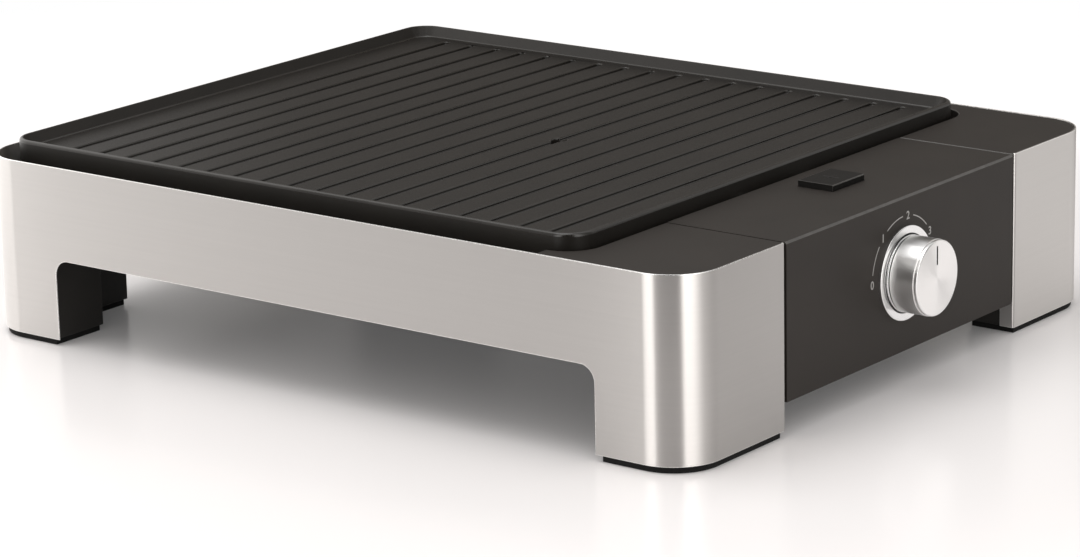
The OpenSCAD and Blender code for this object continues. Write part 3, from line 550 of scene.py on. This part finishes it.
def inset(loop, depth):
    """The loop moved to its left by depth, with mitred corners."""
    moved = []
    for i, here in enumerate(loop):
        p = Vector(here)
        before = (p - Vector(loop[i - 1])).normalized()
        after = (Vector(loop[(i + 1) % len(loop)]) - p).normalized()
        n0, n1 = Vector((-before.y, before.x)), Vector((-after.y, after.x))
        moved.append(tuple(p + depth * (n0 + n1) / (1 + n0.dot(n1))))
    return moved


def inside(point, loop):
    """Whether the point lies in the loop."""
    x, y = point
    crossed = False
    for (x0, y0), (x1, y1) in zip(loop, loop[1:] + loop[:1]):
        if (y0 > y) != (y1 > y) and x < x0 + (y - y0) * (x1 - x0) / (y1 - y0):
            crossed = not crossed
    return crossed


def cap(bm, loop, verts, folds):
    """Fills the loop, whose vertices are verts, with an edge kept along each fold, a place in u."""
    points = [Vector(p) for p in loop]
    edges = [(i, (i + 1) % len(loop)) for i in range(len(loop))]
    for fold in folds:
        on_fold = sorted((p.y, i) for i, p in enumerate(points) if abs(p.x - fold) < TOUCH)
        for (_, i), (_, j) in zip(on_fold, on_fold[1:]):
            beside = Vector((10 * TOUCH, 0))
            if inside((points[i] + points[j]) / 2 + beside, loop):
                edges.append((i, j))
    out_points, _, out_faces, source, _, _ = delaunay_2d_cdt(points, edges, [], 0, TOUCH / 100)
    for face in out_faces:
        centre = sum((out_points[i] for i in face), Vector((0, 0))) / len(face)
        if inside(centre, loop):
            corners = [verts[source[i][0]] for i in face]
            if len(set(corners)) == 3:
                bm.faces.new(corners)


def band(bm, lower, upper, slot=0):
    """Joins two rows of vertices into a closed strip of faces."""
    n = len(lower)
    for i in range(n):
        j = (i + 1) % n
        bm.faces.new((lower[i], lower[j], upper[j], upper[i])).material_index = slot


def divide(loop, folds):
    """The loop with a point wherever an edge along u crosses a fold."""
    done = []
    for (x0, y0), (x1, y1) in zip(loop, loop[1:] + loop[:1]):
        done.append((x0, y0))
        if abs(y0 - y1) < TOUCH:
            crossed = [f for f in folds if min(x0, x1) + TOUCH < f < max(x0, x1) - TOUCH]
            done += [(f, y0) for f in sorted(crossed, reverse=x1 < x0)]
    return done


def slab(bm, loop, thickness, place, edge, steps=2, folds=(), edge_slot=0):
    """A plate from depth 0 to thickness with rounded edges. place(u, v, w) gives a point's place."""
    turns = [math.pi / 2 * k / steps for k in range(steps + 1)]
    near = [(edge * (1 - math.sin(a)), edge * (1 - math.cos(a))) for a in turns]
    rings = near + [(i, thickness - w) for i, w in reversed(near)]
    loop = divide(loop, folds)
    rows = []
    for depth, w in rings:
        moved = inset(loop, depth)
        rows.append((moved, [bm.verts.new(place(u, v, w)) for u, v in moved]))
    for (_, row), (_, above) in zip(rows, rows[1:]):
        band(bm, row, above, edge_slot)
    for moved, verts in (rows[0], rows[-1]):
        cap(bm, moved, verts, folds)


# ---- Steel panels ----


def steel_path(u, half_x, half_y, slot):
    """The place and outward direction in plan at a distance u along the sheet from its middle."""
    side = 1 if u >= 0 else -1
    u = abs(u)
    flat = half_x - CORNER_R
    if u <= flat:
        return Vector((side * u, -half_y)), Vector((0, -1))
    u -= flat
    if u <= CORNER_R * math.pi / 2:
        a = u / CORNER_R
        out = Vector((side * math.sin(a), -math.cos(a)))
        return Vector((side * flat, CORNER_R - half_y)) + CORNER_R * out, out
    u -= CORNER_R * math.pi / 2
    straight = half_y - CORNER_R - slot - RETURN_R
    if u <= straight:
        return Vector((side * half_x, CORNER_R - half_y + u)), Vector((side, 0))
    u -= straight
    centre = Vector((side * (half_x - RETURN_R), -slot - RETURN_R))
    if u <= RETURN_R * math.pi / 2:
        a = u / RETURN_R
        out = Vector((side * math.cos(a), math.sin(a)))
        return centre + RETURN_R * out, out
    return centre + Vector((side * (RETURN_R * math.pi / 2 - u), RETURN_R)), Vector((0, 1))


def make_steel_panel(name, side):
    """A panel drawn flat, u along the sheet and v up, and folded. side is -1 in front, 1 behind."""
    low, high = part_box(name)
    half_x, middle = (high.x - low.x) / 2, (high.x + low.x) / 2
    half_y = max(abs(low.y), abs(high.y))
    slot = min(abs(low.y), abs(high.y))
    flat = half_x - CORNER_R
    bend = CORNER_R * math.pi / 2
    face_end = flat + bend + half_y - CORNER_R - slot - RETURN_R
    turned = face_end + RETURN_R * math.pi / 2
    full = turned + RETURN_L - RETURN_R
    leg = half_x - LEG_L
    z0, z1 = low.z, high.z
    right = [(leg, z0), (full, z0), (full, RETURN_TOP), (turned, RETURN_TOP), (turned, z1)]
    arc_u, arc_v = leg - OPENING_R, OPENING_TOP - OPENING_R
    opening = arc(-arc_u, arc_v, OPENING_R, 180, 90, OPENING_STEPS)
    opening += arc(arc_u, arc_v, OPENING_R, 90, 0, OPENING_STEPS)
    outline = right + [(-u, v) for u, v in reversed(right)] + opening
    corner_folds = [flat + bend * k / CORNER_FOLDS for k in range(CORNER_FOLDS + 1)]
    return_folds = [face_end + (turned - face_end) * k / RETURN_FOLDS for k in range(RETURN_FOLDS + 1)]
    folds = sorted(s * f for s in (-1, 1) for f in corner_folds + return_folds)

    def place(u, v, w):
        at, out = steel_path(u, half_x, half_y, slot)
        at = at - out * w
        return Vector((at.x + middle, -side * at.y, v))

    bm = bmesh.new()
    # the sheet's rounded edges take the painted highlight
    slab(bm, outline, SHEET_T, place, SHEET_EDGE, folds=folds, edge_slot=1)
    finish_piece(f"{name}_sheet", bm, name, [name]).data.materials.append(CUT_EDGE_HIGHLIGHT)


# ---- Rounded copies of CAD nodes ----


def make_rounded_copies():
    for node, width in ROUNDING.items():
        softened(node, width)


def make_control_covers():
    """The box's cover, with a painted highlight on its chamfer, and the far deck piece, with a painted
    highlight along its rounded edges.
    """
    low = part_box("control_box_cover")[0]

    def seam_width(edge):
        """The edges along the seam to the near deck piece are rounder."""
        return COVER_SEAM_EDGE if middle_of(edge).y < low.y + SEAM_REACH else None

    cover = softened("control_box_cover", COVER_EDGE, seam_width)
    cover.data.materials.append(RUBBED_EDGE_HIGHLIGHT)
    # the chamfer's faces take the painted highlight
    for face in cover.data.polygons:
        if face.normal.x > CHAMFER_LEAN and face.normal.z > CHAMFER_LEAN:
            face.material_index = 1
    # the far deck piece's rounded edges take the painted highlight
    softened("deck_rear", FAR_DECK_EDGE, edge_highlight=RUBBED_EDGE_HIGHLIGHT)


def make_grill_plate():
    low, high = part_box("grill_plate")
    centre = (low + high) / 2
    half = (high - low) / 2

    def rim_width(edge):
        """The rim's top is well rounded outside and a little inside."""
        if min(v.co.z for v in edge.verts) < high.z - RIM_TOP_REACH:
            return None
        at = middle_of(edge) - centre
        reach_x = max(0, abs(at.x) - half.x + PLATE_CORNER_R)
        reach_y = max(0, abs(at.y) - half.y + PLATE_CORNER_R)
        outer = math.hypot(reach_x, reach_y) > PLATE_CORNER_R - RIM_OUTER_BAND
        return RIM_OUTER_EDGE if outer else RIM_INNER_EDGE

    # the rounded edges of the rim and the grooves take the painted highlight
    softened("grill_plate", PLATE_EDGE, rim_width, segments=4, edge_highlight=COATING_EDGE_HIGHLIGHT)


# ---- Push button ----


def make_button():
    """The push button, with a painted highlight along the edge over the knob and at the near corner, and its
    mark.
    """
    low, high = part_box("push_button")
    centre = (low + high) / 2

    def rubbed_width(edge):
        at = middle_of(edge)
        upper = at.z > high.z - HIGHLIT_FROM_TOP
        near = at.y < low.y + HIGHLIT_FROM_SIDE
        return BUTTON_HIGHLIT_EDGE if at.x > high.x - HIGHLIT_FROM_SIDE and (upper or near) else None

    # every rounded edge of the button takes the painted highlight, the wide ones over the knob and at the
    # near corner
    softened("push_button", BUTTON_EDGE, rubbed_width, segments=3, edge_highlight=RUBBED_EDGE_HIGHLIGHT)
    softened("button_window", WINDOW_EDGE).data.materials[0] = MATERIALS["button_plastic"]

    def on_top(u, v, w):
        return Vector((centre.x + u, centre.y + v, high.z + w))

    outline = rounded_rect(-MARK_L / 2, MARK_L / 2, -MARK_W / 2, MARK_W / 2, MARK_R, 3)
    bm = bmesh.new()
    slab(bm, outline, MARK_T, on_top, PRINT_EDGE, steps=1)
    finish_piece("button_mark", bm, "button_window", slot="pointer_black")


# ---- Knob ----


def lathe(name, profile, centre, node, steps=128):
    """A closed profile of (radius, x) turned about an axis along X. It stands for node."""
    bm = bmesh.new()
    turns = [2 * math.pi * k / steps for k in range(steps)]
    rings = []
    for r, x in profile:
        if r < TOUCH:
            rings.append([bm.verts.new(centre + Vector((x, 0, 0)))])
        else:
            ring = [Vector((x, r * math.cos(a), r * math.sin(a))) for a in turns]
            rings.append([bm.verts.new(centre + at) for at in ring])
    for here, there in zip(rings, rings[1:] + rings[:1]):
        for k in range(steps):
            j = (k + 1) % steps
            pairs = ((here, k), (here, j), (there, j), (there, k))
            corners = [ring[i % len(ring)] for ring, i in pairs]
            # a ring of one vertex, on the axis, gives a triangle
            corners = [v for i, v in enumerate(corners) if v not in corners[:i]]
            if len(corners) > 2:
                bm.faces.new(corners)
    return finish_piece(name, bm, node, [node], sharp=50)


def rounded_profile(corners, steps=5):
    """The profile through corners of (radius, x, rounding), each rounded off by its rounding."""
    done = []
    for i, (r, x, rounding) in enumerate(corners):
        if rounding == 0:
            done.append((r, x))
            continue
        p = Vector((r, x))
        before = (Vector(corners[i - 1][:2]) - p).normalized()
        after = (Vector(corners[(i + 1) % len(corners)][:2]) - p).normalized()
        half = before.angle(after) / 2
        reach = rounding / math.tan(half)
        centre = p + (before + after).normalized() * (rounding / math.sin(half))
        start, end = p + before * reach - centre, p + after * reach - centre
        for k in range(steps + 1):
            done.append(tuple(centre + rounding * start.slerp(end, k / steps)))
    return done


def back_centre(node):
    """The middle of the node's side towards the body."""
    low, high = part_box(node)
    return Vector((low.x, (low.y + high.y) / 2, (low.z + high.z) / 2))


def make_knob_cap():
    """The cap, with a fine groove behind its face."""
    low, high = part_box("knob_shell")
    r = (high.z - low.z) / 2 - CAP_INSET
    length = high.x - low.x
    groove_end = length - GROOVE_FROM_FACE
    groove_start = groove_end - GROOVE_W
    groove_r, shoulder = r - GROOVE_DEPTH, r - SHOULDER_INSET
    corners = [
        (r - CAP_WALL, 0, 0),
        (r, 0, CAP_BACK_EDGE),
        (r, groove_start, CAP_LIP_EDGE),
        (groove_r, groove_start, INNER_CORNER),
        (groove_r, groove_end, INNER_CORNER),
        (shoulder, groove_end, CAP_SHOULDER_EDGE),
        (shoulder, length, CAP_FACE_EDGE),
        (0, length, 0),
        (0, length - CAP_WALL, 0),
        (r - CAP_WALL, length - CAP_WALL, 0),
    ]
    lathe("knob_cap", rounded_profile(corners), back_centre("knob_shell"), "knob_shell")


def make_bezel():
    """The polished ring, with a black recess round the knob and a polished bead in it."""
    low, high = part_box("knob_bezel")
    cap_back = back_centre("knob_shell")
    centre = Vector((low.x, cap_back.y, cap_back.z))
    outer, depth = (high.z - low.z) / 2, high.x - low.x
    bead_top = cap_back.x - low.x - BEAD_TO_CAP
    corners = [
        (BEZEL_HOLE_R, 0, 0),
        (outer, 0, 0),
        (outer, depth, BEZEL_EDGE),
        (BEZEL_BORE_R, depth, BEZEL_BORE_EDGE),
        (BEZEL_BORE_R, RECESS_FLOOR_T, INNER_CORNER),
        (BEAD_R + BEAD_HALF_W, RECESS_FLOOR_T, INNER_CORNER),
        (BEAD_R + BEAD_HALF_W, bead_top, BEAD_EDGE),
        (BEAD_R - BEAD_HALF_W, bead_top, BEAD_EDGE),
        (BEAD_R - BEAD_HALF_W, RECESS_FLOOR_T, INNER_CORNER),
        (BEZEL_HOLE_R, RECESS_FLOOR_T, 0),
    ]
    ring = lathe("bezel_ring", rounded_profile(corners), centre, "knob_bezel")
    ring.data.materials.append(MATERIALS["black_frame"])
    for face in ring.data.polygons:
        at = face.center - centre
        in_bore = math.hypot(at.y, at.z) < BEZEL_BORE_R - RECESS_BLACK_GAP
        if in_bore and at.x < RECESS_FLOOR_T + RECESS_BLACK_H:
            face.material_index = 1


def make_knob():
    make_knob_cap()
    make_bezel()
    softened("knob_pointer", POINTER_EDGE)


# ---- Dial ----


def add_digit(bm, digit, angle, on_face):
    """A digit's mesh, centred on the dial's circle at the angle."""
    text = bpy.data.curves.new("digit", "FONT")
    text.body = str(digit)
    text.size = DIGIT_H / DIGIT_SHARE
    text.extrude = PRINT_T / 2
    text.offset = DIGIT_BOLD
    text.align_x, text.align_y = "CENTER", "CENTER"
    holder = bpy.data.objects.new("digit", text)
    mesh = bpy.data.meshes.new_from_object(holder)
    xs, ys = [v.co.x for v in mesh.vertices], [v.co.y for v in mesh.vertices]
    u0 = DIAL_R * math.cos(angle) - (min(xs) + max(xs)) / 2
    v0 = DIAL_R * math.sin(angle) - (min(ys) + max(ys)) / 2
    for v in mesh.vertices:
        v.co = on_face(u0 + v.co.x, v0 + v.co.y, PRINT_T / 2 + v.co.z)
    bm.from_mesh(mesh)
    bpy.data.meshes.remove(mesh)
    bpy.data.objects.remove(holder)
    bpy.data.curves.remove(text)


def make_dial():
    """Plain numbers and arcs printed on the control box round the knob."""
    centre = back_centre("knob_bezel")
    bm = bmesh.new()

    def on_face(u, v, w):
        return centre + Vector((w, u, v))

    for k in range(DIAL_LAST + 1):
        add_digit(bm, k, math.radians(DIAL_FIRST - DIAL_STEP * k), on_face)
    for k in range(DIAL_LAST + 1):
        start = DIAL_FIRST - DIAL_STEP * k - DIGIT_SPACE
        end = max(start - DIAL_STEP + 2 * DIGIT_SPACE, DIAL_END)
        r = DIAL_R - DIAL_LINE / 2
        inner = arc(0, 0, r, end, start, DIAL_ARC_STEPS)
        outer = arc(0, 0, r + DIAL_LINE, start, end, DIAL_ARC_STEPS)
        slab(bm, inner + outer, PRINT_T, on_face, PRINT_EDGE, steps=1)
    finish_piece("dial_print", bm, "control_box_cover", slot="bezel_chrome").data.materials[0] = dial_ink()


# ---- Studio ----


def stage(name, mesh, material):
    piece = bpy.data.objects.new(name, mesh)
    bpy.context.collection.objects.link(piece)
    mesh.materials.append(material)
    return piece


def make_floor():
    """A pale floor that is glossy near the object, glows a little there as painted light that lightens the
    object's shadow, and turns to plain white further out.
    """
    mesh = bpy.data.meshes.new("floor")
    corners = [(x * FLOOR_HALF, y * FLOOR_HALF, 0) for x, y in ((-1, -1), (1, -1), (1, 1), (-1, 1))]
    mesh.from_pydata(corners, [], [(0, 1, 2, 3)])
    s = Shader("floor", FLOOR_COLOUR, FLOOR_ROUGHNESS)
    length = s.add("VectorMath", Vector=s.place())
    length.operation = "LENGTH"
    far = length.outputs["Value"]
    s.set(Specular_IOR_Level=s.spread(far, FLOOR_GLOSS, 0, *FLOOR_GLOSS_FADE))
    white = s.add("Emission", Strength=1.0)
    mix = s.add("MixShader")
    s.feed(mix.inputs[0], s.spread(far, FLOOR_GLOW, 1, *FLOOR_FADE))
    s.feed(mix.inputs[1], s.main.outputs["BSDF"])
    s.feed(mix.inputs[2], white.outputs["Emission"])
    s.feed(s.tree.nodes["Material Output"].inputs["Surface"], mix.outputs["Shader"])
    stage("floor", mesh, s.material)


def wall_material():
    """Light that changes with the azimuth as WALL_GLOW says."""
    material = bpy.data.materials.new("studio_wall")
    material.use_nodes = True
    tree = material.node_tree
    tree.nodes.clear()
    where = tree.nodes.new("ShaderNodeTexCoord")
    turn = tree.nodes.new("ShaderNodeTexGradient")
    turn.gradient_type = "RADIAL"
    ramp = tree.nodes.new("ShaderNodeValToRGB")
    glow = tree.nodes.new("ShaderNodeEmission")
    glow.inputs["Strength"].default_value = WALL_FULL
    out = tree.nodes.new("ShaderNodeOutputMaterial")
    tree.links.new(where.outputs["Object"], turn.inputs["Vector"])
    tree.links.new(turn.outputs["Fac"], ramp.inputs["Fac"])
    tree.links.new(ramp.outputs["Color"], glow.inputs["Color"])
    tree.links.new(glow.outputs["Emission"], out.inputs["Surface"])
    stops = ramp.color_ramp.elements
    for i, (azimuth, glow_there) in enumerate(WALL_GLOW):
        # a new ramp has two stops
        stop = stops[i] if i < 2 else stops.new(1)
        stop.position = azimuth / 360 + 0.25
        tint = WALL_BACK_TINT if WALL_BACK[0] < azimuth < WALL_BACK[1] else WALL_TINT
        stop.color = (*shade(tint, glow_there / WALL_FULL), 1)
    return material


def make_studio_wall():
    """A round wall of soft boxes and dark cards, lower behind, which only reflections show."""
    bm = bmesh.new()
    foot, top = [], []
    for k in range(WALL_STEPS):
        a = 2 * math.pi * k / WALL_STEPS
        behind = WALL_BACK[0] < math.degrees(a) + 90 < WALL_BACK[1]
        x, y = WALL_R * math.cos(a), WALL_R * math.sin(a)
        foot.append(bm.verts.new((x, y, WALL_FOOT)))
        top.append(bm.verts.new((x, y, WALL_BACK_H if behind else WALL_H)))
    band(bm, foot, top)
    mesh = bpy.data.meshes.new("studio_wall")
    bm.to_mesh(mesh)
    bm.free()
    wall = stage("studio_wall", mesh, wall_material())
    wall.visible_camera = False
    wall.visible_diffuse = False
    wall.visible_transmission = False
    wall.visible_shadow = False


def make_lamp():
    data = bpy.data.lights.new("overhead", "AREA")
    data.shape = "RECTANGLE"
    data.size, data.size_y = LAMP_SIZE, LAMP_SIZE
    data.energy = LAMP_POWER
    lamp = bpy.data.objects.new("overhead", data)
    aim = (Vector(LAMP_AT) - Vector(LAMP_AIM)).to_track_quat("Z", "Y").to_matrix().to_4x4()
    lamp.matrix_world = Matrix.Translation(LAMP_AT) @ aim
    lamp.visible_camera = False
    bpy.context.collection.objects.link(lamp)


def make_world():
    """White where it is seen or mirrored, and a little less where it lights the object."""
    world = bpy.data.worlds.new("studio")
    bpy.context.scene.world = world
    world.use_nodes = True
    tree = world.node_tree
    path = tree.nodes.new("ShaderNodeLightPath")
    seen = path.outputs["Is Camera Ray"]
    for other in ("Is Transmission Ray", "Is Glossy Ray"):
        either = tree.nodes.new("ShaderNodeMath")
        either.operation = "MAXIMUM"
        tree.links.new(seen, either.inputs[0])
        tree.links.new(path.outputs[other], either.inputs[1])
        seen = either.outputs[0]
    level = tree.nodes.new("ShaderNodeMapRange")
    level.inputs["To Min"].default_value = WORLD_LEVEL
    level.inputs["To Max"].default_value = 1
    tree.links.new(seen, level.inputs["Value"])
    background = tree.nodes["Background"]
    background.inputs["Color"].default_value = (1, 1, 1, 1)
    tree.links.new(level.outputs["Result"], background.inputs["Strength"])


make_camera()
paint_nodes()
make_steel_panel("front_steel_panel", -1)
make_steel_panel("rear_steel_panel", 1)
make_rounded_copies()
make_control_covers()
make_grill_plate()
make_button()
make_knob()
make_dial()
make_floor()
make_studio_wall()
make_lamp()
make_world()
bpy.context.scene.view_settings.view_transform = "Standard"
